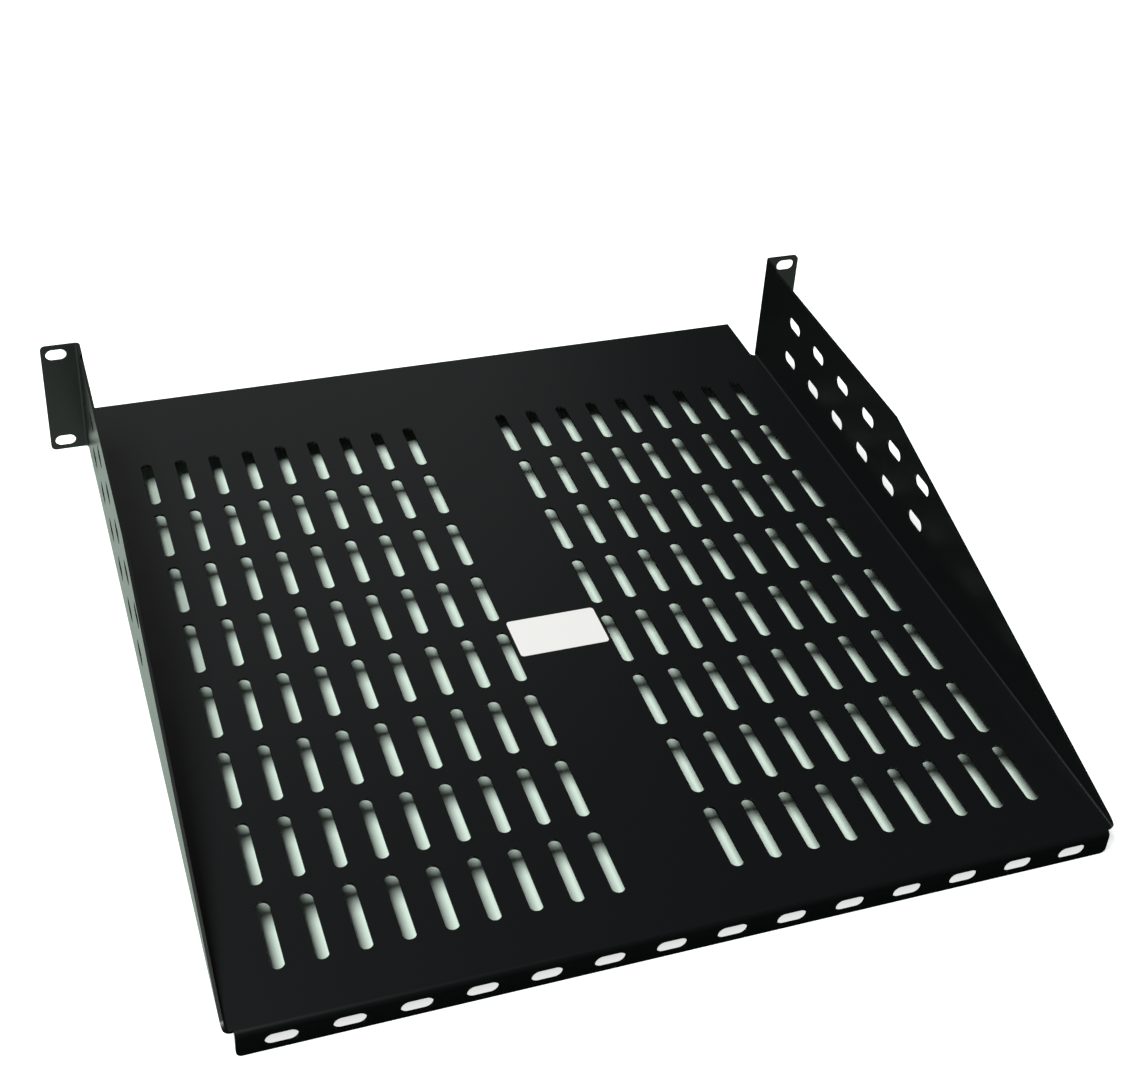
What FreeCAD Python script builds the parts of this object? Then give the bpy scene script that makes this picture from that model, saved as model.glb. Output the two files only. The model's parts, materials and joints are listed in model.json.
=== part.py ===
"""Cantilever rack shelf: one sheet of steel, punched and folded, with a blank label.

The sheet is drawn the way it is folded.  X runs across the rack, Y runs from the
mounting face of the ears back into the rack, and Z is up.  Each body is drawn with
Z = 0 on top of the deck, and is then lowered so that the origin of the part lies in the
middle of the four ear slots, on the face that seats against the rack's posts.
"""
import FreeCAD, Part
import math
import os
import re

import Sketcher
from FreeCAD import Vector

# name, value in millimetres (or a count), what it is
SIZES = [
    ("sheet", 1.5, "thickness of the steel sheet"),
    ("bend_inside", 1.5, "inside radius of every fold"),
    ("tray_width", 440.0, "across the outside of the two side panels"),
    ("tray_depth", 450.0, "mounting face to the outside of the back flange"),
    ("front_overhang", 40.0, "mounting face to the outside of the front flange"),
    ("tab_inset", 5.0, "side panel's outside to the end of the deck's flanges"),
    ("flange_drop", 14.0, "top of the deck to the lower edge of both flanges"),
    ("flange_corner", 3.0, "radius of the flanges' lower corners"),
    ("panel_height", 70.0, "top of the deck to the top edge of the side panels"),
    ("panel_level", 185.0, "mounting face to where the side panel starts to slope"),
    ("back_round", 4.0, "radius of the tray's back corners, seen from above"),
    ("step_length", 13.0, "length of the taller strip of panel behind each ear"),
    ("ear_width", 21.3, "side panel's outside to the end of the ear"),
    ("ear_top", 71.5, "top of the deck to the top of the ears"),
    ("ear_below", 1.0, "top of the deck to the lower end of the ears"),
    ("ear_corner", 3.0, "radius of the ears' outer corners"),
    ("ear_root", 0.5, "flat stretch between an ear's fold and the side panel's fold"),
    ("ear_slot_edge", 8.75, "end of the ear to the middle of its slots"),
    ("ear_slot_rise", 60.325, "between the lower and the upper ear slots"),
    ("ear_slot_length", 12.0, "ear slot, end to end"),
    ("ear_slot_width", 7.5, "ear slot, height"),
    ("ear_centre", 35.0, "top of the deck to the middle of the ear slots"),
    ("relief_width", 6.0, "width of the notch between the front of the deck and a panel"),
    ("relief_length", 12.0, "length of the round-ended punch that cuts the notch"),
    ("relief_depth", 3.5, "mounting face to the bottom of the notch"),
    ("vent_length", 40.0, "deck slot, end to end, along the depth"),
    ("vent_width", 6.5, "deck slot, width"),
    ("vent_end_margin", 30.0, "either end of the tray to the deck slots"),
    ("vent_side_margin", 30.0, "side panel's outside to the middle of the last column"),
    ("vent_centre_gap", 60.0, "between the two middle columns, over the plain strip"),
    ("vent_columns", 9, "columns in each half of the deck"),
    ("vent_rows", 8, "rows of deck slots"),
    ("side_slot_length", 17.0, "side panel slot, end to end"),
    ("side_slot_width", 8.0, "side panel slot, height"),
    ("side_slot_start", 50.0, "mounting face to the middle of the first side slot"),
    ("side_slot_pitch", 35.0, "between side slots along a row"),
    ("side_slot_low", 24.5, "top of the deck to the middle of the lower row"),
    ("side_slot_rise", 25.0, "between the two rows of side slots"),
    ("side_slot_count", 6, "side slots in a row"),
    ("side_slot_rows", 2, "rows of side slots"),
    ("flange_slot_length", 15.0, "flange slot, end to end"),
    ("flange_slot_width", 7.5, "flange slot, height"),
    ("flange_slot_drop", 8.0, "top of the deck to the middle of the flange slots"),
    ("flange_slot_margin", 20.0, "end of the flange to the middle of its last slot"),
    ("flange_slot_count", 14, "slots in each flange"),
    ("cut_margin", 10.0, "how far a trimming cut runs past the sheet"),
    ("label_width", 50.0, "blank label, across the deck"),
    ("label_depth", 29.0, "blank label, along the deck"),
    ("label_corner", 2.0, "radius of the label's corners"),
    ("label_start", 223.0, "mounting face to the near edge of the label"),
    ("label_film", 0.15, "thickness of the label's film"),
]
NAMES = [name for name, _, _ in SIZES]

# Places that follow from the sizes above
SIDE = "(tray_width / 2)"
TAB_END = "(tray_width / 2 - tab_inset)"
TRAY_END = "(tray_depth - sheet - bend_inside)"
SLOPE = "(panel_height / (%s - panel_level))" % TRAY_END
EAR_END = "(tray_width / 2 + ear_width)"
EAR_SLOT = "(tray_width / 2 + ear_width - ear_slot_edge)"
VENT_COLUMNS_REACH = "(tray_width / 2 - vent_side_margin - vent_centre_gap / 2)"
VENT_ROWS_REACH = "(tray_depth - 2 * vent_end_margin - vent_length)"
FLANGE_SLOT = "(tray_width / 2 - tab_inset - flange_slot_margin)"

doc = FreeCAD.newDocument("rack_shelf")
sheet_cells = doc.addObject("Spreadsheet::Sheet", "Sizes")
for row, (name, size, meaning) in enumerate(SIZES, start=1):
    sheet_cells.set("A%d" % row, name)
    sheet_cells.set("B%d" % row, str(size))
    sheet_cells.set("C%d" % row, meaning)
    sheet_cells.setAlias("B%d" % row, name)
doc.recompute()


def cells(formula):
    """Turn the size names in a formula into references to the spreadsheet."""
    return re.sub(r"[a-z_]+", lambda word: "Sizes." + word.group() if word.group() in NAMES
                  else word.group(), formula)


def value(formula):
    """The number that a formula of sizes gives now."""
    return float(sheet_cells.evalExpression(cells(formula)))


def bind(feature, prop, formula):
    """Tie a property of a feature to a formula of sizes."""
    feature.setExpression(prop, cells(formula))


# ---------------------------------------------------------------- sketches

ORIGIN = (-1, 1)


def new_sketch(body, name, role, offset=""):
    """A sketch on one of the body's own planes, moved along its normal by a formula."""
    plane = next(item for item in body.Origin.OriginFeatures if item.Role == role)
    sketch = body.newObject("Sketcher::SketchObject", name)
    sketch.AttachmentSupport = [(plane, "")]
    sketch.MapMode = "FlatFace"
    if offset:
        bind(sketch, "AttachmentOffset.Base.z", offset)
    return sketch


def dimension(sketch, kind, place, formula):
    """Add one driving dimension and tie it to a formula of sizes."""
    index = sketch.addConstraint(Sketcher.Constraint(kind, *place, value(formula)))
    bind(sketch, "Constraints[%d]" % index, formula)


def pin_point(sketch, point, across, up):
    """Fix a point of a sketch by its two distances from the sketch's origin."""
    dimension(sketch, "DistanceX", ORIGIN + point, across)
    dimension(sketch, "DistanceY", ORIGIN + point, up)


def folded_section(sketch, sides):
    """Draw a closed outline of level and upright lines with rounded folds.

    Each side is (kind, place, radius): "level" or "upright", its distance from the
    sketch's origin, and the radius of the corner at its end, "" where it is sharp.
    """
    count = len(sides)
    corners = []
    for index in range(count):
        kind, place, _ = sides[index]
        next_place = sides[(index + 1) % count][1]
        if kind == "level":
            corners.append(Vector(value(next_place), value(place), 0))
        else:
            corners.append(Vector(value(place), value(next_place), 0))
    radii = [value(radius) if radius else 0.0 for _, _, radius in sides]
    ways = [(corners[index] - corners[index - 1]).normalize() for index in range(count)]
    for index in range(count):
        begin = corners[index - 1] + ways[index] * radii[index - 1]
        end = corners[index] - ways[index] * radii[index]
        sketch.addGeometry(Part.LineSegment(begin, end))
    for index, (kind, place, _) in enumerate(sides):
        if kind == "level":
            sketch.addConstraint(Sketcher.Constraint("Horizontal", index))
            dimension(sketch, "DistanceY", ORIGIN + (index, 1), place)
        else:
            sketch.addConstraint(Sketcher.Constraint("Vertical", index))
            dimension(sketch, "DistanceX", ORIGIN + (index, 1), place)
    for index in range(count):
        after = (index + 1) % count
        if not radii[index]:
            sketch.addConstraint(Sketcher.Constraint("Coincident", index, 2, after, 1))
            continue
        round_corner(sketch, index, after, corners[index], ways[index], ways[after],
                     sides[index][2])


def round_corner(sketch, before, after, corner, way_in, way_out, radius):
    """Join two lines of a section by an arc that is tangent to both."""
    size = value(radius)
    centre = corner - way_in * size + way_out * size
    start = corner - way_in * size - centre
    end = corner + way_out * size - centre
    turns_left = way_in.cross(way_out).z > 0
    first, last = (start, end) if turns_left else (end, start)
    circle = Part.Circle(centre, Vector(0, 0, 1), size)
    begin_angle = math.atan2(first.y, first.x)
    end_angle = math.atan2(last.y, last.x)
    arc = sketch.addGeometry(Part.ArcOfCircle(circle, begin_angle, end_angle))
    near, far = (1, 2) if turns_left else (2, 1)
    sketch.addConstraint(Sketcher.Constraint("Tangent", before, 2, arc, near))
    sketch.addConstraint(Sketcher.Constraint("Tangent", arc, far, after, 1))
    dimension(sketch, "Radius", (arc,), radius)


def straight_outline(sketch, points):
    """Draw a closed outline through points given as (across, up) formulas."""
    places = [Vector(value(across), value(up), 0) for across, up in points]
    count = len(points)
    for index in range(count):
        sketch.addGeometry(Part.LineSegment(places[index], places[(index + 1) % count]))
    for index in range(count):
        after = (index + 1) % count
        sketch.addConstraint(Sketcher.Constraint("Coincident", index, 2, after, 1))
        pin_point(sketch, (index, 1), *points[index])


def round_ended_slot(sketch, across, up, length, width, upright=False):
    """Draw a slot with half-round ends about a middle point."""
    reach = "(%s - %s) / 2" % (length, width)
    if upright:
        middles = [(across, "%s - %s" % (up, reach)), (across, "%s + %s" % (up, reach))]
        side, first_angle = Vector(1, 0, 0), math.pi
    else:
        middles = [("%s - %s" % (across, reach), up), ("%s + %s" % (across, reach), up)]
        side, first_angle = Vector(0, -1, 0), math.pi / 2
    near, far = [Vector(value(x), value(y), 0) for x, y in middles]
    radius = value(width) / 2
    for middle, angle in ((near, first_angle), (far, first_angle + math.pi)):
        circle = Part.Circle(middle, Vector(0, 0, 1), radius)
        sketch.addGeometry(Part.ArcOfCircle(circle, angle, angle + math.pi))
    sketch.addGeometry(Part.LineSegment(near + side * radius, far + side * radius))
    sketch.addGeometry(Part.LineSegment(far - side * radius, near - side * radius))
    for first, first_end, second, second_end in ((0, 2, 2, 1), (2, 2, 1, 1),
                                                 (1, 2, 3, 1), (3, 2, 0, 1)):
        joint = Sketcher.Constraint("Tangent", first, first_end, second, second_end)
        sketch.addConstraint(joint)
    sketch.addConstraint(Sketcher.Constraint("Equal", 0, 1))
    dimension(sketch, "Radius", (0,), "%s / 2" % width)
    for arc, middle in enumerate(middles):
        pin_point(sketch, (arc, 3), *middle)


# ---------------------------------------------------------------- features

def pad(body, name, sketch, length, symmetric=False, backwards=False):
    """Add the sketch's outline as a straight prism."""
    feature = body.newObject("PartDesign::Pad", name)
    feature.Profile = sketch
    feature.SideType = "Symmetric" if symmetric else "One side"
    feature.Reversed = backwards
    bind(feature, "Length", length)
    return feature


def punch(body, name, sketch, symmetric=False):
    """Cut the sketch's outline through all of the sheet that lies before it."""
    doc.recompute()
    before = body.Tip.Shape.Volume
    feature = body.newObject("PartDesign::Pocket", name)
    feature.Profile = sketch
    feature.SideType = "Symmetric" if symmetric else "One side"
    feature.Type = "ThroughAll"
    doc.recompute()
    if not feature.Shape.Volume < before:
        raise RuntimeError("%s cuts nothing" % name)
    return feature


def axis(body, letter):
    """One of the body's own axes, as a direction for a pattern."""
    return next(item for item in body.Origin.OriginFeatures if item.Role == letter + "_Axis")


def grid(body, name, original, first, second=None, mirrored=False):
    """Repeat a feature along one or two axes, and mirror the result across the shelf.

    first and second are (axis letter, distance from first to last, how many).
    """
    pattern = body.newObject("PartDesign::LinearPattern", name)
    pattern.Direction = (axis(body, first[0]), [""])
    bind(pattern, "Length", first[1])
    bind(pattern, "Occurrences", first[2])
    if second:
        pattern.Direction2 = (axis(body, second[0]), [""])
        bind(pattern, "Length2", second[1])
        bind(pattern, "Occurrences2", second[2])
    if not mirrored:
        pattern.Originals = [original]
        body.Tip = pattern
        return pattern
    mirror = body.newObject("PartDesign::Mirrored", name + "_mirror")
    mirror.MirrorPlane = (mirror_plane(body), [""])
    both = body.newObject("PartDesign::MultiTransform", name + "_both_sides")
    both.Originals = [original]
    both.Transformations = [pattern, mirror]
    body.Tip = both
    return both


def mirror_plane(body):
    """The plane down the middle of the shelf."""
    return next(item for item in body.Origin.OriginFeatures if item.Role == "YZ_Plane")


def mirror(body, name, original):
    """Repeat one feature on the other side of the shelf."""
    feature = body.newObject("PartDesign::Mirrored", name)
    feature.Originals = [original]
    feature.MirrorPlane = (mirror_plane(body), [""])
    body.Tip = feature
    return feature


def round_edges(body, name, places, radius):
    """Round the edges that run along Y at the given (across, up) places."""
    doc.recompute()
    base = body.Tip
    spots = [(value(across), value(up)) for across, up in places]
    chosen = []
    for number, edge in enumerate(base.Shape.Edges, start=1):
        ends = [vertex.Point for vertex in edge.Vertexes]
        if len(ends) < 2 or (ends[0] - ends[1]).cross(Vector(0, 1, 0)).Length > 1e-6:
            continue
        if any(math.hypot(ends[0].x - x, ends[0].z - z) < 1e-4 for x, z in spots):
            chosen.append("Edge%d" % number)
    feature = body.newObject("PartDesign::Fillet", name)
    feature.Base = (base, chosen)
    bind(feature, "Radius", radius)
    return feature


def lower_to_ear_centre(body):
    """Place a body so that the part's origin is in the middle of the ear slots."""
    bind(body, "Placement.Base.z", "-ear_centre")


# ---------------------------------------------------------------- the folded sheet

def make_shelf():
    body = doc.addObject("PartDesign::Body", "shelf")
    body.Label = "shelf"
    add_tray(body)
    add_deck_and_flanges(body)
    add_ears(body)
    punch_slots(body)
    lower_to_ear_centre(body)
    return body


def add_tray(body):
    """Deck and upright side panels, folded up from one strip, then trimmed."""
    section = new_sketch(body, "tray_section", "XZ_Plane", "-bend_inside")
    folded_section(section, [
        ("upright", "-" + SIDE, "bend_inside + sheet"),
        ("level", "-sheet", "bend_inside + sheet"),
        ("upright", SIDE, ""),
        ("level", "ear_top", ""),
        ("upright", SIDE + " - sheet", "bend_inside"),
        ("level", "0", "bend_inside"),
        ("upright", "sheet - " + SIDE, ""),
        ("level", "ear_top", ""),
    ])
    pad(body, "tray", section, TRAY_END + " - bend_inside", backwards=True)

    # The slope is one straight cut down to the deck's level at the end of the tray.
    trim = new_sketch(body, "side_trim", "YZ_Plane")
    straight_outline(trim, [
        ("step_length", "panel_height"),
        ("panel_level", "panel_height"),
        (TRAY_END + " + cut_margin", "-cut_margin * " + SLOPE),
        (TRAY_END + " + cut_margin", "ear_top + cut_margin"),
        ("step_length", "ear_top + cut_margin"),
    ])
    punch(body, "side_trim_cut", trim, symmetric=True)

    # The back corners of the tray are rounded off before the back flange starts.
    waste = new_sketch(body, "back_corner_waste", "XY_Plane", "bend_inside")
    folded_section(waste, [
        ("upright", SIDE, "back_round"),
        ("level", TRAY_END, ""),
        ("upright", SIDE + " - back_round - cut_margin", ""),
        ("level", TRAY_END + " + cut_margin", ""),
        ("upright", SIDE + " + cut_margin", ""),
        ("level", TRAY_END + " - back_round - cut_margin", ""),
    ])
    mirror(body, "back_corners", punch(body, "back_corner", waste))

    # A round-ended notch frees the front of the deck from each fold.
    notch = new_sketch(body, "relief_punch", "XY_Plane", "bend_inside")
    round_ended_slot(notch, TAB_END + " + relief_width / 2",
                     "relief_depth - relief_length / 2", "relief_length", "relief_width",
                     upright=True)
    mirror(body, "relief_both_sides", punch(body, "relief_cut", notch))


def add_deck_and_flanges(body):
    """The deck's full length, with a flange folded down at the front and the back."""
    section = new_sketch(body, "deck_section", "YZ_Plane")
    folded_section(section, [
        ("upright", "-front_overhang", "bend_inside + sheet"),
        ("level", "0", "bend_inside + sheet"),
        ("upright", "tray_depth", ""),
        ("level", "-flange_drop", ""),
        ("upright", "tray_depth - sheet", "bend_inside"),
        ("level", "-sheet", "bend_inside"),
        ("upright", "sheet - front_overhang", ""),
        ("level", "-flange_drop", ""),
    ])
    pad(body, "deck", section, "2 * " + TAB_END, symmetric=True)
    round_edges(body, "flange_corners",
                [(TAB_END, "-flange_drop"), ("-" + TAB_END, "-flange_drop")],
                "flange_corner")


def add_ears(body):
    """The mounting ears, folded outwards from the front of the side panels."""
    section = new_sketch(body, "ear_section", "XY_Plane", "-ear_below")
    folded_section(section, [
        ("upright", SIDE + " - sheet", "bend_inside + sheet"),
        ("level", "-sheet", ""),
        ("upright", EAR_END, ""),
        ("level", "0", "bend_inside"),
        ("upright", SIDE, ""),
        ("level", "bend_inside + ear_root", ""),
    ])
    ear = pad(body, "ear", section, "ear_top + ear_below")
    mirror(body, "ear_both_sides", ear)
    round_edges(body, "ear_corners",
                [(EAR_END, "ear_top"), ("-" + EAR_END, "ear_top"),
                 (EAR_END, "-ear_below"), ("-" + EAR_END, "-ear_below")],
                "ear_corner")


def punch_slots(body):
    """Every slot of the sheet, each kind punched once and then repeated."""
    vent = new_sketch(body, "vent_outline", "XY_Plane")
    round_ended_slot(vent, "vent_centre_gap / 2", "vent_end_margin + vent_length / 2",
                     "vent_length", "vent_width", upright=True)
    grid(body, "vents", punch(body, "vent", vent),
         ("X", VENT_COLUMNS_REACH, "vent_columns"),
         ("Y", VENT_ROWS_REACH, "vent_rows"), mirrored=True)

    side = new_sketch(body, "side_slot_outline", "YZ_Plane")
    round_ended_slot(side, "side_slot_start", "side_slot_low", "side_slot_length",
                     "side_slot_width")
    grid(body, "side_slots", punch(body, "side_slot", side, symmetric=True),
         ("Y", "side_slot_pitch * (side_slot_count - 1)", "side_slot_count"),
         ("Z", "side_slot_rise * (side_slot_rows - 1)", "side_slot_rows"))

    flange = new_sketch(body, "flange_slot_outline", "XZ_Plane")
    round_ended_slot(flange, "-" + FLANGE_SLOT, "-flange_slot_drop",
                     "flange_slot_length", "flange_slot_width")
    grid(body, "flange_slots", punch(body, "flange_slot", flange, symmetric=True),
         ("X", "2 * " + FLANGE_SLOT, "flange_slot_count"))

    ear = new_sketch(body, "ear_slot_outline", "XZ_Plane")
    round_ended_slot(ear, "-" + EAR_SLOT, "ear_centre - ear_slot_rise / 2",
                     "ear_slot_length", "ear_slot_width")
    grid(body, "ear_slots", punch(body, "ear_slot", ear, symmetric=True),
         ("X", "2 * " + EAR_SLOT, "2"), ("Z", "ear_slot_rise", "2"))


# ---------------------------------------------------------------- the label

def make_label():
    """A blank self-adhesive label on the plain strip of the deck."""
    body = doc.addObject("PartDesign::Body", "blank_label")
    body.Label = "blank_label"
    outline = new_sketch(body, "label_outline", "XY_Plane")
    folded_section(outline, [
        ("upright", "label_width / 2", "label_corner"),
        ("level", "label_start + label_depth", "label_corner"),
        ("upright", "-label_width / 2", "label_corner"),
        ("level", "label_start", "label_corner"),
    ])
    pad(body, "label_film_pad", outline, "label_film")
    lower_to_ear_centre(body)
    return body


# ---------------------------------------------------------------- build, check and write

parts = [make_shelf(), make_label()]
doc.recompute()

for item in doc.Objects:
    if "Invalid" in item.State or "Error" in item.State:
        raise RuntimeError("%s failed: %s" % (item.Name, item.State))
for part in parts:
    shape = part.Shape
    if shape.isNull() or not shape.isValid() or len(shape.Solids) != 1:
        raise RuntimeError("%s is not one valid solid" % part.Label)

os.makedirs("parts", exist_ok=True)
for part in parts:
    part.Shape.exportStep(os.path.join("parts", part.Label + ".step"))
    box = part.Shape.BoundBox
    print("%s: %.1f x %.1f x %.1f mm, %.1f cm3, %d faces" % (
        part.Label, box.XLength, box.YLength, box.ZLength, part.Shape.Volume / 1000,
        len(part.Shape.Faces)))
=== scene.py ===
# %% [markdown]
# # A vented rack shelf in black powder coat
#
# A cantilever shelf for a 19-inch rack is one sheet of steel.  A turret press punches the
# flat sheet full of slots, a press brake folds up its sides, its ears and its two flanges,
# and the whole thing is then powder coated.  This notebook makes the shelf in the same
# order: flat panels with their slots, then the folds between them, then the thickness,
# the softened edges and the coat.  A blank paper label and a small studio finish the scene.

# %% Load the frame
import json
import math

import bmesh
import bpy
from mathutils import Matrix, Vector


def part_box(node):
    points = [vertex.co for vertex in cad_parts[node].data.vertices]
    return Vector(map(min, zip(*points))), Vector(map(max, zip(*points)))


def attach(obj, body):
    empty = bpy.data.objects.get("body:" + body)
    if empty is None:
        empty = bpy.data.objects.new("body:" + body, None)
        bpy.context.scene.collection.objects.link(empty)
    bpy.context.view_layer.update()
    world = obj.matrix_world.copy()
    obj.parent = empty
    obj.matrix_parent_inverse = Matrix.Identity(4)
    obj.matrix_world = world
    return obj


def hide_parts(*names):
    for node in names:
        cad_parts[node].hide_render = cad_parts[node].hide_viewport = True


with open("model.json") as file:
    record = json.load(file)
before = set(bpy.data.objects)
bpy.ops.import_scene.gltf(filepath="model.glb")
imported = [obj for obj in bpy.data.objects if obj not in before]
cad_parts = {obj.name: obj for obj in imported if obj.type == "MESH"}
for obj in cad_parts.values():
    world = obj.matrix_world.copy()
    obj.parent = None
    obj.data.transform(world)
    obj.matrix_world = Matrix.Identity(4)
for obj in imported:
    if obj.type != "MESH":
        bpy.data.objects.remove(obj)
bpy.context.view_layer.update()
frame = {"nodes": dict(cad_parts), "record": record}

# %% [markdown]
# ## Sizes
#
# The outer places are read from the solids that the frame brings, and the ears' slots from
# the rack mount in its record, so the dressed shelf and the solid stay the same size.
# Everything is in millimetres, with heights counted from the top of the deck, and is turned
# into metres only when the folded sheet is finished.

# %% Sizes that the frame gives, in millimetres
MM = 0.001
low, high = [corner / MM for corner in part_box("shelf")]
label_low, label_high = [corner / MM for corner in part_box("blank_label")]
DECK_TOP = label_low.z
FLANGE_DROP = DECK_TOP - low.z
FRONT, BACK = low.y, high.y
EAR_END = high.x
EAR_TOP = high.z - DECK_TOP
EAR_SLOTS = frame["record"]["mounts"][0]["dims"]
print("deck top at", round(DECK_TOP, 2), "mm, ears out to", round(EAR_END, 2), "mm")
print("ear slots", EAR_SLOTS["spacing_x_mm"], "by", EAR_SLOTS["spacing_y_mm"], "mm apart")

# %% [markdown]
# The rest are the sheet's own sizes: its thickness, its folds, and where its edges run.
# A fold has three radii, on the inside, along the middle of the sheet and on the outside,
# and the outline of a panel starts where its fold ends.

# %% The sheet's own sizes, in millimetres
SHEET = 1.5
HALF_SHEET = SHEET / 2
FOLD_INSIDE = 1.5
FOLD_MIDDLE = FOLD_INSIDE + HALF_SHEET
FOLD_OUTSIDE = FOLD_INSIDE + SHEET

SIDE = 220.0             # half the width of the tray
TAB_END = SIDE - 5.0     # the flanges stop short of the sides
PANEL_HEIGHT = 70.0      # side panels, over their level stretch
PANEL_LEVEL = 185.0      # where that stretch ends and the slope begins
STEP_LENGTH = 13.0       # the little step that rises to the ear
TRAY_END = BACK - FOLD_OUTSIDE
SLOPE = PANEL_HEIGHT / (TRAY_END - PANEL_LEVEL)
BACK_ROUND = 4.0         # the tray's rounded back corners
NOTCH_ROUND = 3.0        # the relief notch in front of each side panel
NOTCH_DEPTH = 3.5
EAR_BELOW = 1.0          # the ears' lower edge, under the deck's top
EAR_ROOT = 0.5           # flat stretch of side panel between its fold and the ear's
CORNER_ROUND = 3.0       # corners of the ears and the flanges
print("sheet", SHEET, "mm thick, folded round", FOLD_INSIDE, "mm")

# %% [markdown]
# ## One helper for nodes
#
# Geometry Nodes and shaders are both trees of nodes, so one small function serves both.
# It adds a node, sets its options, and feeds its inputs: an input gets either a value or
# a link, depending on what it is given.

# %% A helper that adds a node
def add_node(tree, kind, feeds=None, **settings):
    """Add a node; a feed that is another node's socket becomes a link."""
    node = tree.nodes.new(kind)
    for name, setting in settings.items():
        setattr(node, name, setting)
    for name, feed in (feeds or {}).items():
        socket = node.inputs[name]
        if isinstance(feed, bpy.types.NodeSocket):
            tree.links.new(feed, socket)
        else:
            socket.default_value = feed
    return node


def maths(tree, operation, *numbers):
    """Add one calculation on values or sockets, and return its result."""
    feeds = dict(enumerate(numbers))
    return add_node(tree, "ShaderNodeMath", feeds, operation=operation).outputs[0]


# %% [markdown]
# ## The punching tree
#
# Every flat panel of the shelf is the same story: an outline, and a regular grid of slots
# with round ends.  A boolean per slot would be slow and leave a ragged mesh.  Instead one
# Geometry Nodes tree draws a single slot as a curve, copies it over a grid of points, and
# fills the space between the outline and the slots, which is just what a punched blank is.
# Its inputs are the numbers that a press's operator would type in.

# %% Name the tree's inputs
punching = bpy.data.node_groups.new("punched_panel", "GeometryNodeTree")
sockets = punching.interface
sockets.new_socket("Outline", in_out="INPUT", socket_type="NodeSocketGeometry")
for name, kind in [("Slot length", "NodeSocketFloat"), ("Slot width", "NodeSocketFloat"),
                   ("Slot turn", "NodeSocketFloat"), ("Centre", "NodeSocketVector"),
                   ("Column pitch", "NodeSocketFloat"), ("Row pitch", "NodeSocketFloat"),
                   ("Columns", "NodeSocketInt"), ("Rows", "NodeSocketInt"),
                   ("Plain strip", "NodeSocketFloat"), ("Coat", "NodeSocketMaterial")]:
    sockets.new_socket(name, in_out="INPUT", socket_type=kind)
sockets.new_socket("Panel", in_out="OUTPUT", socket_type="NodeSocketGeometry")
given = add_node(punching, "NodeGroupInput").outputs
print("the punching tree has", len(given) - 1, "inputs")

# %% [markdown]
# One slot is a circle of 24 corners, turned by half a step so that no corner lies on its
# waist, and pulled apart at the waist by the length of its straight sides.  The radius is
# a little more than half the slot's width, because the flats of a polygon lie inside its
# circle, and the slot has to be as wide as its name says.

# %% Draw one slot
SLOT_CORNERS = 24
HALF_STEP = math.pi / SLOT_CORNERS

slot_radius = maths(punching, "DIVIDE", given["Slot width"], 2 * math.cos(HALF_STEP))
circle = add_node(punching, "GeometryNodeCurvePrimitiveCircle",
                  {"Resolution": SLOT_CORNERS, "Radius": slot_radius})
turned = add_node(punching, "GeometryNodeTransform",
                  {"Geometry": circle.outputs["Curve"], "Rotation": (0, 0, HALF_STEP)})
position = add_node(punching, "GeometryNodeInputPosition").outputs[0]
waist = add_node(punching, "ShaderNodeSeparateXYZ", {"Vector": position})
spare = maths(punching, "SUBTRACT", given["Slot length"], given["Slot width"])
straight = maths(punching, "DIVIDE", spare, 2.0)
pull = maths(punching, "MULTIPLY", maths(punching, "SIGN", waist.outputs["Y"]), straight)
apart = add_node(punching, "ShaderNodeCombineXYZ", {"Y": pull})
slot = add_node(punching, "GeometryNodeSetPosition",
                {"Geometry": turned.outputs[0], "Offset": apart.outputs[0]})
print("a slot has", SLOT_CORNERS, "corners")

# %% [markdown]
# The grid lies round a centre, and its width is one pitch for each gap between columns,
# which is one less than the columns.  Points over the plain strip in the middle get no
# slot, which is how the deck keeps room for its label.

# %% Copy the slot over a grid
column_gaps = maths(punching, "SUBTRACT", given["Columns"], 1.0)
row_gaps = maths(punching, "SUBTRACT", given["Rows"], 1.0)
across = maths(punching, "MULTIPLY", given["Column pitch"], column_gaps)
along = maths(punching, "MULTIPLY", given["Row pitch"], row_gaps)
grid = add_node(punching, "GeometryNodeMeshGrid",
                {"Size X": across, "Size Y": along, "Vertices X": given["Columns"],
                 "Vertices Y": given["Rows"]})
centred = add_node(punching, "GeometryNodeTransform",
                   {"Geometry": grid.outputs["Mesh"], "Translation": given["Centre"]})
column = add_node(punching, "ShaderNodeSeparateXYZ", {"Vector": position})
punched = maths(punching, "GREATER_THAN", maths(punching, "ABSOLUTE", column.outputs["X"]),
                maths(punching, "DIVIDE", given["Plain strip"], 2.0))
turn = add_node(punching, "ShaderNodeCombineXYZ", {"Z": given["Slot turn"]})
slots = add_node(punching, "GeometryNodeInstanceOnPoints",
                 {"Points": centred.outputs[0], "Selection": punched,
                  "Instance": slot.outputs[0], "Rotation": turn.outputs[0]})
print("slot and grid take", len(punching.nodes), "nodes")

# %% [markdown]
# Fill Curve takes the outline and all the slots as one set of curves, fills the outline,
# and leaves open whatever a second curve encloses.  It needs curves of its own and not
# instances, so the slots are realised first.

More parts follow.
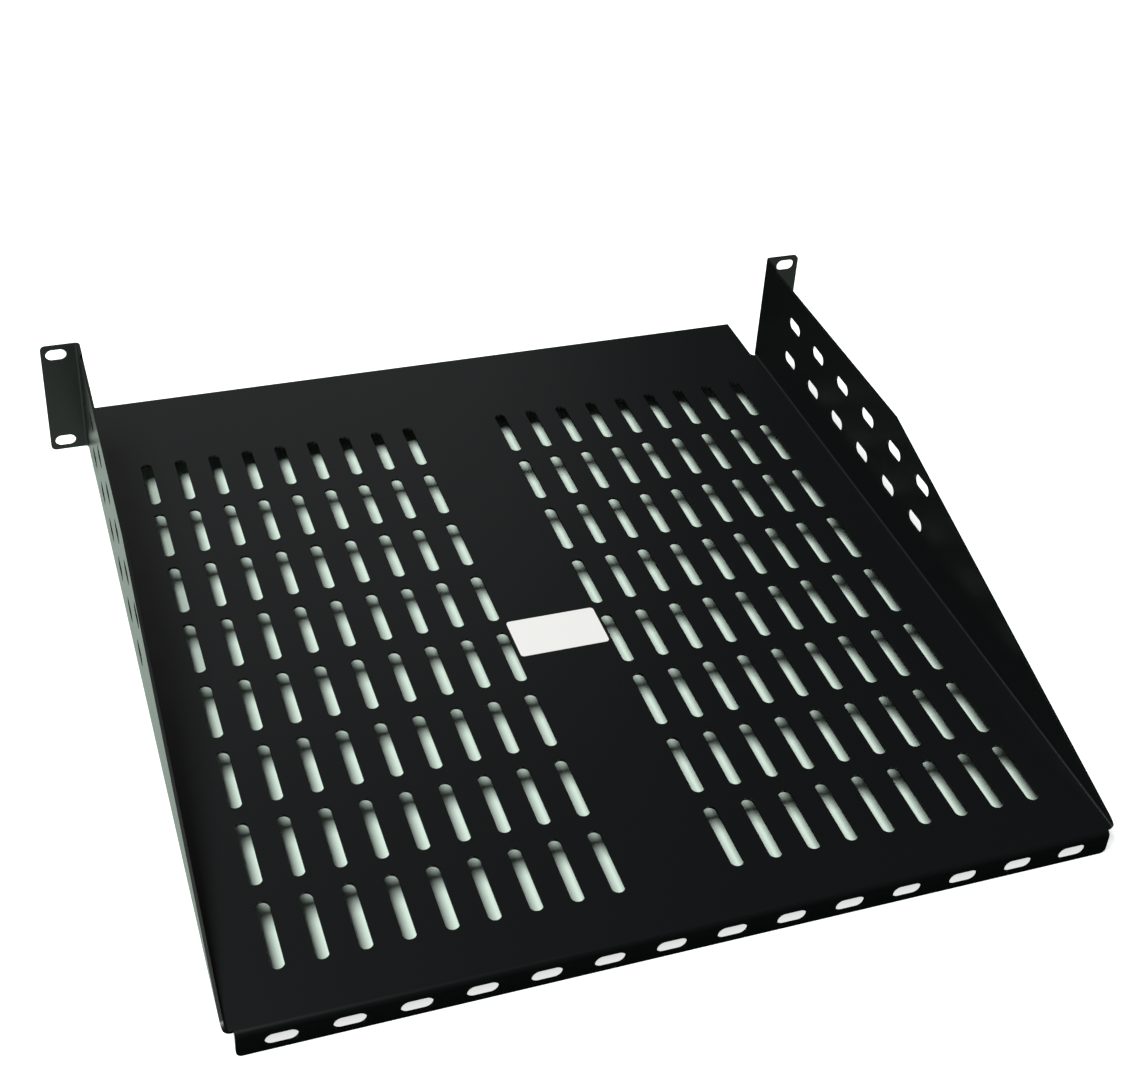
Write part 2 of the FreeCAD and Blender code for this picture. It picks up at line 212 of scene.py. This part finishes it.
# %% Fill the space between the outline and the slots
edge = add_node(punching, "GeometryNodeMeshToCurve", {"Mesh": given["Outline"]})
curves = add_node(punching, "GeometryNodeJoinGeometry", {"Geometry": edge.outputs[0]})
loose_slots = add_node(punching, "GeometryNodeRealizeInstances",
                       {"Geometry": slots.outputs[0]})
punching.links.new(loose_slots.outputs[0], curves.inputs[0])
filled = add_node(punching, "GeometryNodeFillCurve", {"Curve": curves.outputs[0]},
                  mode="TRIANGLES")
real = add_node(punching, "GeometryNodeRealizeInstances", {"Geometry": filled.outputs[0]})
coated = add_node(punching, "GeometryNodeSetMaterial",
                  {"Geometry": real.outputs[0], "Material": given["Coat"]})
add_node(punching, "NodeGroupOutput", {"Panel": coated.outputs[0]})
print("the punching tree has", len(punching.nodes), "nodes")

# %% [markdown]
# ## The coat
#
# Shelves like this are sprayed with black polyester powder and baked.  The melted powder
# flows into a satin skin: dark, with a faint orange-peel ripple under a millimetre across
# and no metal flakes.  Paint is not a metal, so it keeps a paint's index of refraction, and
# it turns mirror-like only at a glancing angle.  The ripple goes into the bump.  Grains far
# finer than the ripple shade part of the coat's sheen, so its specular level is lowered.

# %% Colours, and a helper that starts a material
def linear(hex_colour):
    """Turn an sRGB colour such as #0f1112 into the linear values that shaders take."""
    channels = [int(hex_colour[i:i + 2], 16) / 255 for i in (1, 3, 5)]
    return [c / 12.92 if c <= 0.04045 else ((c + 0.055) / 1.055) ** 2.4
            for c in channels] + [1.0]


def new_material(name):
    """Make a material with an empty tree, and return both."""
    material = bpy.data.materials.new(name)
    material.use_nodes = True
    material.node_tree.nodes.clear()
    return material, material.node_tree


# %% The powder coat
RIPPLE = 0.9 * MM
RIPPLE_HEIGHT = 0.012 * MM

powder_coat, tree = new_material("black_powder_coat")
spot = add_node(tree, "ShaderNodeTexCoord").outputs["Object"]
ripple = add_node(tree, "ShaderNodeTexNoise",
                  {"Vector": spot, "Scale": 1 / RIPPLE, "Detail": 2.0, "Roughness": 0.5})
skin = add_node(tree, "ShaderNodeBump",
                {"Height": ripple.outputs["Fac"], "Strength": 1.0,
                 "Distance": RIPPLE_HEIGHT})
paint = add_node(tree, "ShaderNodeBsdfPrincipled",
                 {"Base Color": linear("#0f1112"), "Roughness": 0.30, "IOR": 1.5,
                  "Specular IOR Level": 0.35, "Normal": skin.outputs["Normal"]})
add_node(tree, "ShaderNodeOutputMaterial", {"Surface": paint.outputs[0]})
print("powder coat ripple", RIPPLE / MM, "mm across")

# %% [markdown]
# ## Flat panels
#
# The sheet is drawn on its middle surface, half a sheet in from either skin, because a
# fold's middle line is the one thing that both its neighbours share.  Each panel is an
# outline in its own flat drawing, with X across and Y up the page.  The edge that it
# shares with a fold is one straight stretch, so the two weld together corner to corner.
#
# Two edges of the blank run on through a fold: the relief notch in front of a side panel,
# and the back edge, which rounds the tray's corner and then climbs the panel's slope.
# Each is a function, so that the panels and the fold between them can ask it the same.

# %% Helpers for the outlines
def arc(centre, radius, start, end, steps=8):
    """Points along an arc, from one angle to another in degrees."""
    angles = [math.radians(start + (end - start) * i / steps) for i in range(steps + 1)]
    return [(centre[0] + radius * math.cos(a), centre[1] + radius * math.sin(a))
            for a in angles]


def notch_edge(x):
    """How far back the relief notch reaches, at this distance from the middle."""
    reach = x - (TAB_END + NOTCH_ROUND)
    return NOTCH_DEPTH - NOTCH_ROUND + math.sqrt(NOTCH_ROUND ** 2 - reach ** 2)


def tray_back_edge(x, z):
    """Where the sheet ends at the back, at this distance from the middle and height."""
    reach = max(x - (SIDE - BACK_ROUND), 0.0)
    rounded = TRAY_END - BACK_ROUND + math.sqrt(BACK_ROUND ** 2 - reach ** 2)
    return min(rounded, TRAY_END - z / SLOPE)


# %% Outline of the deck
FOLD_LINE = SIDE - FOLD_OUTSIDE
PANEL_MIDDLE = SIDE - HALF_SHEET
FRONT_LINE = FRONT + FOLD_OUTSIDE
EAR_LINE = SIDE + FOLD_INSIDE

notch_turn = math.degrees(math.acos((FOLD_LINE - TAB_END - NOTCH_ROUND) / NOTCH_ROUND))
corner_turn = math.degrees(math.acos((FOLD_LINE - SIDE + BACK_ROUND) / BACK_ROUND))
right_edge = [(TAB_END, FRONT_LINE)]
right_edge += arc((TAB_END + NOTCH_ROUND, NOTCH_DEPTH - NOTCH_ROUND), NOTCH_ROUND,
                  180, notch_turn)
right_edge += arc((SIDE - BACK_ROUND, TRAY_END - BACK_ROUND), BACK_ROUND,
                  corner_turn, 90, steps=3)
right_edge += [(TAB_END, TRAY_END)]
deck_outline = right_edge + [(-x, y) for x, y in reversed(right_edge)]
print("the deck has", len(deck_outline), "corners")

# %% Outlines of a side panel, a flange and an ear
panel_outline = [
    (FOLD_INSIDE, EAR_TOP), (STEP_LENGTH, EAR_TOP), (STEP_LENGTH, PANEL_HEIGHT),
    (PANEL_LEVEL, PANEL_HEIGHT), (tray_back_edge(PANEL_MIDDLE, FOLD_INSIDE), FOLD_INSIDE),
    (notch_edge(PANEL_MIDDLE), FOLD_INSIDE), (FOLD_INSIDE + EAR_ROOT, FOLD_INSIDE),
    (FOLD_INSIDE + EAR_ROOT, -EAR_BELOW), (FOLD_INSIDE, -EAR_BELOW)]

flange_corner = (TAB_END - CORNER_ROUND, CORNER_ROUND - FLANGE_DROP)
lower_right = arc(flange_corner, CORNER_ROUND, 0, -90)
flange_outline = [(TAB_END, -FOLD_OUTSIDE)] + lower_right
flange_outline += [(-x, z) for x, z in reversed(flange_outline)]

ear_outline = [(EAR_LINE, -EAR_BELOW)]
ear_outline += arc((EAR_END - CORNER_ROUND, CORNER_ROUND - EAR_BELOW), CORNER_ROUND, -90, 0)
ear_outline += arc((EAR_END - CORNER_ROUND, EAR_TOP - CORNER_ROUND), CORNER_ROUND, 0, 90)
ear_outline += [(EAR_LINE, EAR_TOP)]
print("corners: side panel", len(panel_outline), "flange", len(flange_outline),
      "ear", len(ear_outline))

# %% [markdown]
# ## Punch the panels
#
# A modifier runs the punching tree on an outline, and its result is taken as a plain mesh.
# A modifier knows the tree's inputs only by identifiers such as Socket_2, so these are
# looked up by name: a size called slot_length goes into the input called Slot length.

# %% A helper that punches a panel
def punch(name, outline, **sizes):
    """Run the punching tree on an outline and return the flat panel's mesh."""
    mesh = bpy.data.meshes.new(name)
    corners = [(x, y, 0) for x, y in outline]
    rim = [(i, (i + 1) % len(corners)) for i in range(len(corners))]
    mesh.from_pydata(corners, rim, [])
    plate = bpy.data.objects.new(name, mesh)
    bpy.context.scene.collection.objects.link(plate)
    modifier = plate.modifiers.new("punch", "NODES")
    modifier.node_group = punching
    keys = {item.name: item.identifier for item in punching.interface.items_tree
            if item.in_out == "INPUT"}
    for title, size in sizes.items():
        modifier[keys[title.replace("_", " ").capitalize()]] = size
    modifier[keys["Coat"]] = powder_coat
    bpy.context.view_layer.update()
    ready = plate.evaluated_get(bpy.context.evaluated_depsgraph_get())
    flat = bpy.data.meshes.new_from_object(ready)
    bpy.data.objects.remove(plate)
    print(name, "has", len(flat.polygons), "faces")
    return flat


# %% [markdown]
# The slots follow the shelf's own numbers.  The deck has a 20 mm grid of columns whose
# middle two are left out for the plain strip, in rows 50 mm apart.  The side panels carry
# two rows of level slots, each flange a row of slots for cable ties, and each ear two slots
# that stand 60.3 mm apart, as the second and the sixth hole of two rack units do.

# %% Punch every panel
LEVEL, UPRIGHT = math.pi / 2, 0.0

deck = punch("deck", deck_outline, slot_length=40.0, slot_width=6.5, slot_turn=UPRIGHT,
             centre=(0.0, 225.0, 0.0), column_pitch=20.0, row_pitch=50.0, columns=20,
             rows=8, plain_strip=40.0)
panel = punch("panel", panel_outline, slot_length=17.0, slot_width=8.0, slot_turn=LEVEL,
              centre=(137.5, 37.0, 0.0), column_pitch=35.0, row_pitch=25.0, columns=6,
              rows=2, plain_strip=0.0)
flange = punch("flange", flange_outline, slot_length=15.0, slot_width=7.5,
               slot_turn=LEVEL, centre=(0.0, -8.0, 0.0), column_pitch=30.0, row_pitch=0.0,
               columns=14, rows=1, plain_strip=0.0)
ear = punch("ear", ear_outline, slot_length=EAR_SLOTS["slot_length_mm"],
            slot_width=2 * EAR_SLOTS["hole_r_mm"], slot_turn=LEVEL,
            centre=(EAR_SLOTS["spacing_x_mm"] / 2, -DECK_TOP, 0.0), column_pitch=0.0,
            row_pitch=EAR_SLOTS["spacing_y_mm"], columns=1, rows=2, plain_strip=0.0)

# %% [markdown]
# ## Fold the sheet
#
# A press brake rolls the sheet round a small radius.  Each fold is a quarter of a ring,
# made here as a row of narrow faces between two flat panels.  Where an edge of the blank
# runs through a fold, as the notch, the slope and the rounded back corner do, every
# station of the ring ends on that edge.  All the pieces go into one mesh and are welded,
# which is why a fold's first and last stations must meet the panels' corners exactly.

# %% Helpers that place a panel and make a fold
blank = bmesh.new()


def put(mesh, matrix):
    """Add a placed copy of a flat panel to the blank."""
    placed = mesh.copy()
    placed.transform(matrix)
    blank.from_mesh(placed)
    bpy.data.meshes.remove(placed)


def fold(stations):
    """Join stations, each a pair of points across the fold, with a row of faces."""
    rows = [[blank.verts.new(corner) for corner in station] for station in stations]
    for one, two in zip(rows, rows[1:]):
        blank.faces.new((one[0], one[1], two[1], two[0]))


def page(right, up, corner):
    """A matrix that lays a flat drawing's X and Y along two directions in space."""
    right, up = Vector(right), Vector(up)
    turned_page = Matrix((right, up, right.cross(up))).transposed().to_4x4()
    return Matrix.Translation(corner) @ turned_page


# %% Lay the deck and fold down its flanges
ACROSS, DEPTH, UP = (1, 0, 0), (0, 1, 0), (0, 0, 1)
FOLD_STEPS = 8
quarter = [math.pi / 2 * step / FOLD_STEPS for step in range(FOLD_STEPS + 1)]

put(deck, page(ACROSS, DEPTH, (0, 0, -HALF_SHEET)))
for way, wall, line in ((1, BACK - HALF_SHEET, TRAY_END),
                        (-1, FRONT + HALF_SHEET, FRONT_LINE)):
    put(flange, page(ACROSS, UP, (0, wall, 0)))
    flange_fold = []
    for a in quarter:
        y = line + way * FOLD_MIDDLE * math.sin(a)
        z = FOLD_MIDDLE * math.cos(a) - FOLD_OUTSIDE
        flange_fold.append([(-TAB_END, y, z), (TAB_END, y, z)])
    fold(flange_fold)
print("deck and flanges:", len(blank.faces), "faces")

# %% Fold up the sides and fold out the ears
for way in (1, -1):
    mirrored = Matrix.Diagonal((way, 1, 1, 1))
    put(panel, mirrored @ page(DEPTH, UP, (PANEL_MIDDLE, 0, 0)))
    put(ear, mirrored @ page(ACROSS, UP, (0, -HALF_SHEET, 0)))
    side_fold, ear_fold = [], []
    for a in quarter:
        x = FOLD_LINE + FOLD_MIDDLE * math.sin(a)
        z = FOLD_INSIDE - FOLD_MIDDLE * math.cos(a)
        side_fold.append([(way * x, notch_edge(x), z), (way * x, tray_back_edge(x, z), z)])
        x = EAR_LINE - FOLD_MIDDLE * math.cos(a)
        y = FOLD_INSIDE - FOLD_MIDDLE * math.sin(a)
        ear_fold.append([(way * x, y, -EAR_BELOW), (way * x, y, EAR_TOP)])
    fold(side_fold)
    fold(ear_fold)
print("with sides and ears:", len(blank.faces), "faces")

# %% [markdown]
# The weld joins corners that lie on each other.  Mirroring turned one side inside out, so
# the faces are made to agree once the sheet is one piece, before it gets its thickness.
# An edge of the blank borders one face, and any other edge borders two: an edge with any
# other count would be a tear.

# %% Weld the sheet
WELD_GAP = 0.005         # millimetres

bmesh.ops.remove_doubles(blank, verts=blank.verts, dist=WELD_GAP)
bmesh.ops.recalc_face_normals(blank, faces=blank.faces)
torn = [e for e in blank.edges if len(e.link_faces) not in (1, 2)]
print("blank:", len(blank.faces), "faces,", len(torn), "bad edges")

sheet = bpy.data.meshes.new("folded_shelf")
blank.to_mesh(sheet)
blank.free()
sheet.transform(Matrix.Scale(MM, 4) @ Matrix.Translation((0, 0, DECK_TOP)))
sheet.materials.clear()
sheet.materials.append(powder_coat)
shelf = bpy.data.objects.new("folded_shelf", sheet)
bpy.context.scene.collection.objects.link(shelf)

# %% [markdown]
# ## Thickness and soft edges
#
# Solidify gives the middle surface its 1.5 mm, half to each side.  Punched edges are never
# knife sharp: the punch rolls them over a little and the powder rounds them further, and
# that thin rim is what catches the light round every slot.  A small bevel makes it, and
# weighted normals keep the big flat faces flat right up to it.

# %% Solidify, bevel and finish the shelf
EDGE_ROUND = 0.22        # millimetres
EDGE_SEGMENTS = 2
SHARP_ANGLE = 40         # degrees; a fold's narrow faces turn less, and stay as they are
FLAT_WEIGHT = 90         # how much the large faces decide the normals at their rims

thick = shelf.modifiers.new("thickness", "SOLIDIFY")
thick.thickness = SHEET * MM
thick.offset = 0.0
thick.use_even_offset = True
soft = shelf.modifiers.new("soft_edges", "BEVEL")
soft.width = EDGE_ROUND * MM
soft.segments = EDGE_SEGMENTS
soft.limit_method = "ANGLE"
soft.angle_limit = math.radians(SHARP_ANGLE)
even = shelf.modifiers.new("even_normals", "WEIGHTED_NORMAL")
even.weight = FLAT_WEIGHT
even.keep_sharp = True
for face in sheet.polygons:
    face.use_smooth = True
bpy.context.view_layer.update()
ready = shelf.evaluated_get(bpy.context.evaluated_depsgraph_get())
shelf.data = bpy.data.meshes.new_from_object(ready)
shelf.modifiers.clear()
triangles = sum(len(face.vertices) - 2 for face in shelf.data.polygons)
print("the shelf has", triangles, "triangles")

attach(shelf, "root")
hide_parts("shelf")

# %% [markdown]
# ## The label
#
# The label is a piece of white self-adhesive paper, matt and a little warm, stuck to the
# plain strip of the deck.  It is left blank.  Paper has a fine fibre, far too small to see
# from here, so it is drawn at half a millimetre and barely raised.

# %% Paper for the label
FIBRE = 0.5 * MM
FIBRE_HEIGHT = 0.004 * MM

label_paper, tree = new_material("label_paper")
spot = add_node(tree, "ShaderNodeTexCoord").outputs["Object"]
fibre = add_node(tree, "ShaderNodeTexNoise", {"Vector": spot, "Scale": 1 / FIBRE})
fibre_skin = add_node(tree, "ShaderNodeBump",
                      {"Height": fibre.outputs["Fac"], "Distance": FIBRE_HEIGHT})
paper = add_node(tree, "ShaderNodeBsdfPrincipled",
                 {"Base Color": linear("#f7f7f4"), "Roughness": 0.6,
                  "Normal": fibre_skin.outputs["Normal"]})
add_node(tree, "ShaderNodeOutputMaterial", {"Surface": paper.outputs[0]})
label = frame["nodes"]["blank_label"]
label.data.materials.clear()
label.data.materials.append(label_paper)
print("label", [round(size, 2) for size in label_high - label_low], "mm")

# %% [markdown]
# ## The floor
#
# The shelf lies on a plain pale floor with a breath of green in it.  It is part of the
# stage and not of the shelf, and reaches far past the edge of any view.

# %% Lay the floor
FLOOR_REACH = 8.0        # metres

floor_z = low.z * MM
floor_mesh = bpy.data.meshes.new("floor")
floor_corners = [(x * FLOOR_REACH, y * FLOOR_REACH, floor_z)
                 for x, y in ((-1, -1), (1, -1), (1, 1), (-1, 1))]
floor_mesh.from_pydata(floor_corners, [], [(0, 1, 2, 3)])
floor = bpy.data.objects.new("floor", floor_mesh)
bpy.context.scene.collection.objects.link(floor)
print("floor at", round(low.z, 1), "mm")

# %% [markdown]
# The softbox lights the floor to a light tone, and a glow that only the camera sees lifts
# it the rest of the way to white, so the soft shadow round the shelf stays.  The glow
# fades out under the deck: there the light that falls through the slots must be the only
# light.  Far from the shelf, where the softbox's light thins out, a little more comes in.

# %% Where the floor glows, in metres
OPEN_GLOW = 0.78
DISTANT_GLOW = 0.22
DISTANCES = (0.5, 1.1)      # from the shelf, over which the distant glow comes in
DARK_MIDDLE = (0.0, 0.21)   # the patch under the deck that has no glow, and its half sizes
DARK_REACH = (0.203, 0.206)
GLOW_FADE = 0.03

pale_floor, tree = new_material("pale_floor")
spot = add_node(tree, "ShaderNodeTexCoord").outputs["Object"]
floor_spot = add_node(tree, "ShaderNodeSeparateXYZ", {"Vector": spot}).outputs
covers = []
for axis, middle, dark_reach in zip("XY", DARK_MIDDLE, DARK_REACH):
    off_middle = maths(tree, "ABSOLUTE", maths(tree, "SUBTRACT", floor_spot[axis], middle))
    covers.append(add_node(tree, "ShaderNodeMapRange",
                           {"Value": off_middle, "From Min": dark_reach,
                            "From Max": dark_reach + GLOW_FADE, "To Min": 1.0,
                            "To Max": 0.0}).outputs[0])
under_deck = maths(tree, "MULTIPLY", *covers)
open_glow = maths(tree, "MULTIPLY", maths(tree, "SUBTRACT", 1.0, under_deck), OPEN_GLOW)
away = add_node(tree, "ShaderNodeVectorMath", {0: spot, 1: (*DARK_MIDDLE, floor_z)},
                operation="DISTANCE").outputs["Value"]
distant_glow = add_node(tree, "ShaderNodeMapRange",
                        {"Value": away, "From Min": DISTANCES[0],
                         "From Max": DISTANCES[1], "To Min": 0.0,
                         "To Max": DISTANT_GLOW}).outputs[0]
glow = maths(tree, "ADD", open_glow, distant_glow)
print("no glow under", [2 * reach for reach in DARK_REACH], "metres of deck")

# %% [markdown]
# A black coat shows whatever it mirrors.  Here the floor is painted dark for mirror rays
# only, where they land beyond the ears or in front of the near flange.  This painted dark
# reflection stands in for the black cloths, called flags, that a studio lays where a dark
# object would otherwise mirror something pale.  So the side panel's tall end and the flange
# don't turn as grey as the floor.

# %% Painted dark reflections on the floor, and the floor's material
DARK_REFLECTION_BEHIND = -0.005     # metres; where the painted dark reflection beyond the ears begins,
DARK_REFLECTION_LEFT = 0.1          # and where it ends on the left, clear of the left panel
DARK_REFLECTION_FRONT = 0.45        # where the painted dark reflection in front of the near flange begins

rays = add_node(tree, "ShaderNodeLightPath").outputs
behind = maths(tree, "MULTIPLY", maths(tree, "LESS_THAN", floor_spot["Y"], DARK_REFLECTION_BEHIND),
               maths(tree, "LESS_THAN", floor_spot["X"], DARK_REFLECTION_LEFT))
in_front = maths(tree, "GREATER_THAN", floor_spot["Y"], DARK_REFLECTION_FRONT)
# painted dark reflection: mirror rays that land in these zones find the floor painted dark
reflection_darkened = maths(tree, "MULTIPLY", rays["Is Glossy Ray"],
                maths(tree, "MAXIMUM", behind, in_front))
pale = add_node(tree, "ShaderNodeBsdfDiffuse", {"Color": linear("#e3f7e9")})
dark = add_node(tree, "ShaderNodeBsdfDiffuse", {"Color": linear("#202221")})
matt = add_node(tree, "ShaderNodeMixShader", {0: reflection_darkened, 1: pale.outputs[0],
                                              2: dark.outputs[0]})
seen_glow = maths(tree, "MULTIPLY", rays["Is Camera Ray"], glow)
lift = add_node(tree, "ShaderNodeEmission", {"Strength": seen_glow})
both = add_node(tree, "ShaderNodeAddShader", {0: matt.outputs[0], 1: lift.outputs[0]})
add_node(tree, "ShaderNodeOutputMaterial", {"Surface": both.outputs[0]})
floor_mesh.materials.append(pale_floor)
print("the floor's material has", len(tree.nodes), "nodes")

# %% [markdown]
# ## The world
#
# The world is a dim grey room, white only where the camera looks straight at it.  Mirror
# rays find the grey, because all of the shelf is painted: it has no bare metal or glass
# that would show the background, and a white room would turn its black coat grey.

# %% Make the world
ROOM_GREY = 0.04

world = bpy.data.worlds.new("dim_room")
bpy.context.scene.world = world
world.use_nodes = True
tree = world.node_tree
tree.nodes.clear()
camera_ray = add_node(tree, "ShaderNodeLightPath").outputs["Is Camera Ray"]
level = add_node(tree, "ShaderNodeMapRange",
                 {"Value": camera_ray, "To Min": ROOM_GREY, "To Max": 1.0})
room = add_node(tree, "ShaderNodeBackground",
                {"Color": linear("#ffffff"), "Strength": level.outputs[0]})
add_node(tree, "ShaderNodeOutputWorld", {"Surface": room.outputs[0]})
print("the room's light is", ROOM_GREY, "of white")

# %% [markdown]
# ## Lamps
#
# One long softbox hangs above the shelf, off to the side that the camera leans from, and
# throws light down through the slots: that is what paints the bright patches on the floor
# under the deck.  It is wide, so the patches have soft ends.  A weaker one beyond the ears
# lays a faint sheen on the far end of the deck.

# %% Hang the softboxes
def softbox(name, place, aim, size, watts):
    """Hang a rectangular area lamp and turn it towards a point."""
    lamp = bpy.data.lights.new(name, "AREA")
    lamp.shape = "RECTANGLE"
    lamp.size, lamp.size_y = size
    lamp.energy = watts
    holder = bpy.data.objects.new(name, lamp)
    holder.location = place
    towards = Vector(aim) - Vector(place)
    holder.rotation_euler = towards.to_track_quat("-Z", "Y").to_euler()
    bpy.context.scene.collection.objects.link(holder)
    print(name, "hangs", round(towards.length, 2), "metres away")


MIDDLE = (0.0, 0.2, DECK_TOP * MM)
softbox("top_softbox", place=(1.3, 0.2, 3.0), aim=MIDDLE, size=(2.6, 1.1), watts=116)
softbox("far_softbox", place=(0.4, -1.8, 1.2), aim=MIDDLE, size=(2.6, 1.4), watts=3.3)

# %% [markdown]
# ## Camera
#
# The camera stands behind the shelf, to one side and well above it, with a 60 mm lens, and
# leans a little.  The framing is cropped a little off the middle of the lens's picture,
# which is what the camera's shift is for.  Two directions fix how it is turned: where it
# looks, and which way is right in its picture.

# %% Set the camera
camera = bpy.data.cameras.new("camera")
camera.sensor_width = 36.0
camera.lens = 60.0
camera.shift_y = -0.078
camera.clip_start, camera.clip_end = 0.05, 50.0
tripod = bpy.data.objects.new("camera", camera)
standpoint = Matrix.Translation((0.281, 0.968, 0.637))
forward = Vector((-0.2927, -0.7634, -0.5758)).normalized()
right = Vector((-0.9457, 0.3202, 0.0562)).normalized()
upward = right.cross(forward)
facing = Matrix((right, upward, -forward)).transposed().to_4x4()
tripod.matrix_world = standpoint @ facing
bpy.context.scene.collection.objects.link(tripod)
bpy.context.scene.camera = tripod
bpy.context.scene.view_settings.view_transform = "Standard"
print("the camera has a", camera.lens, "mm lens")
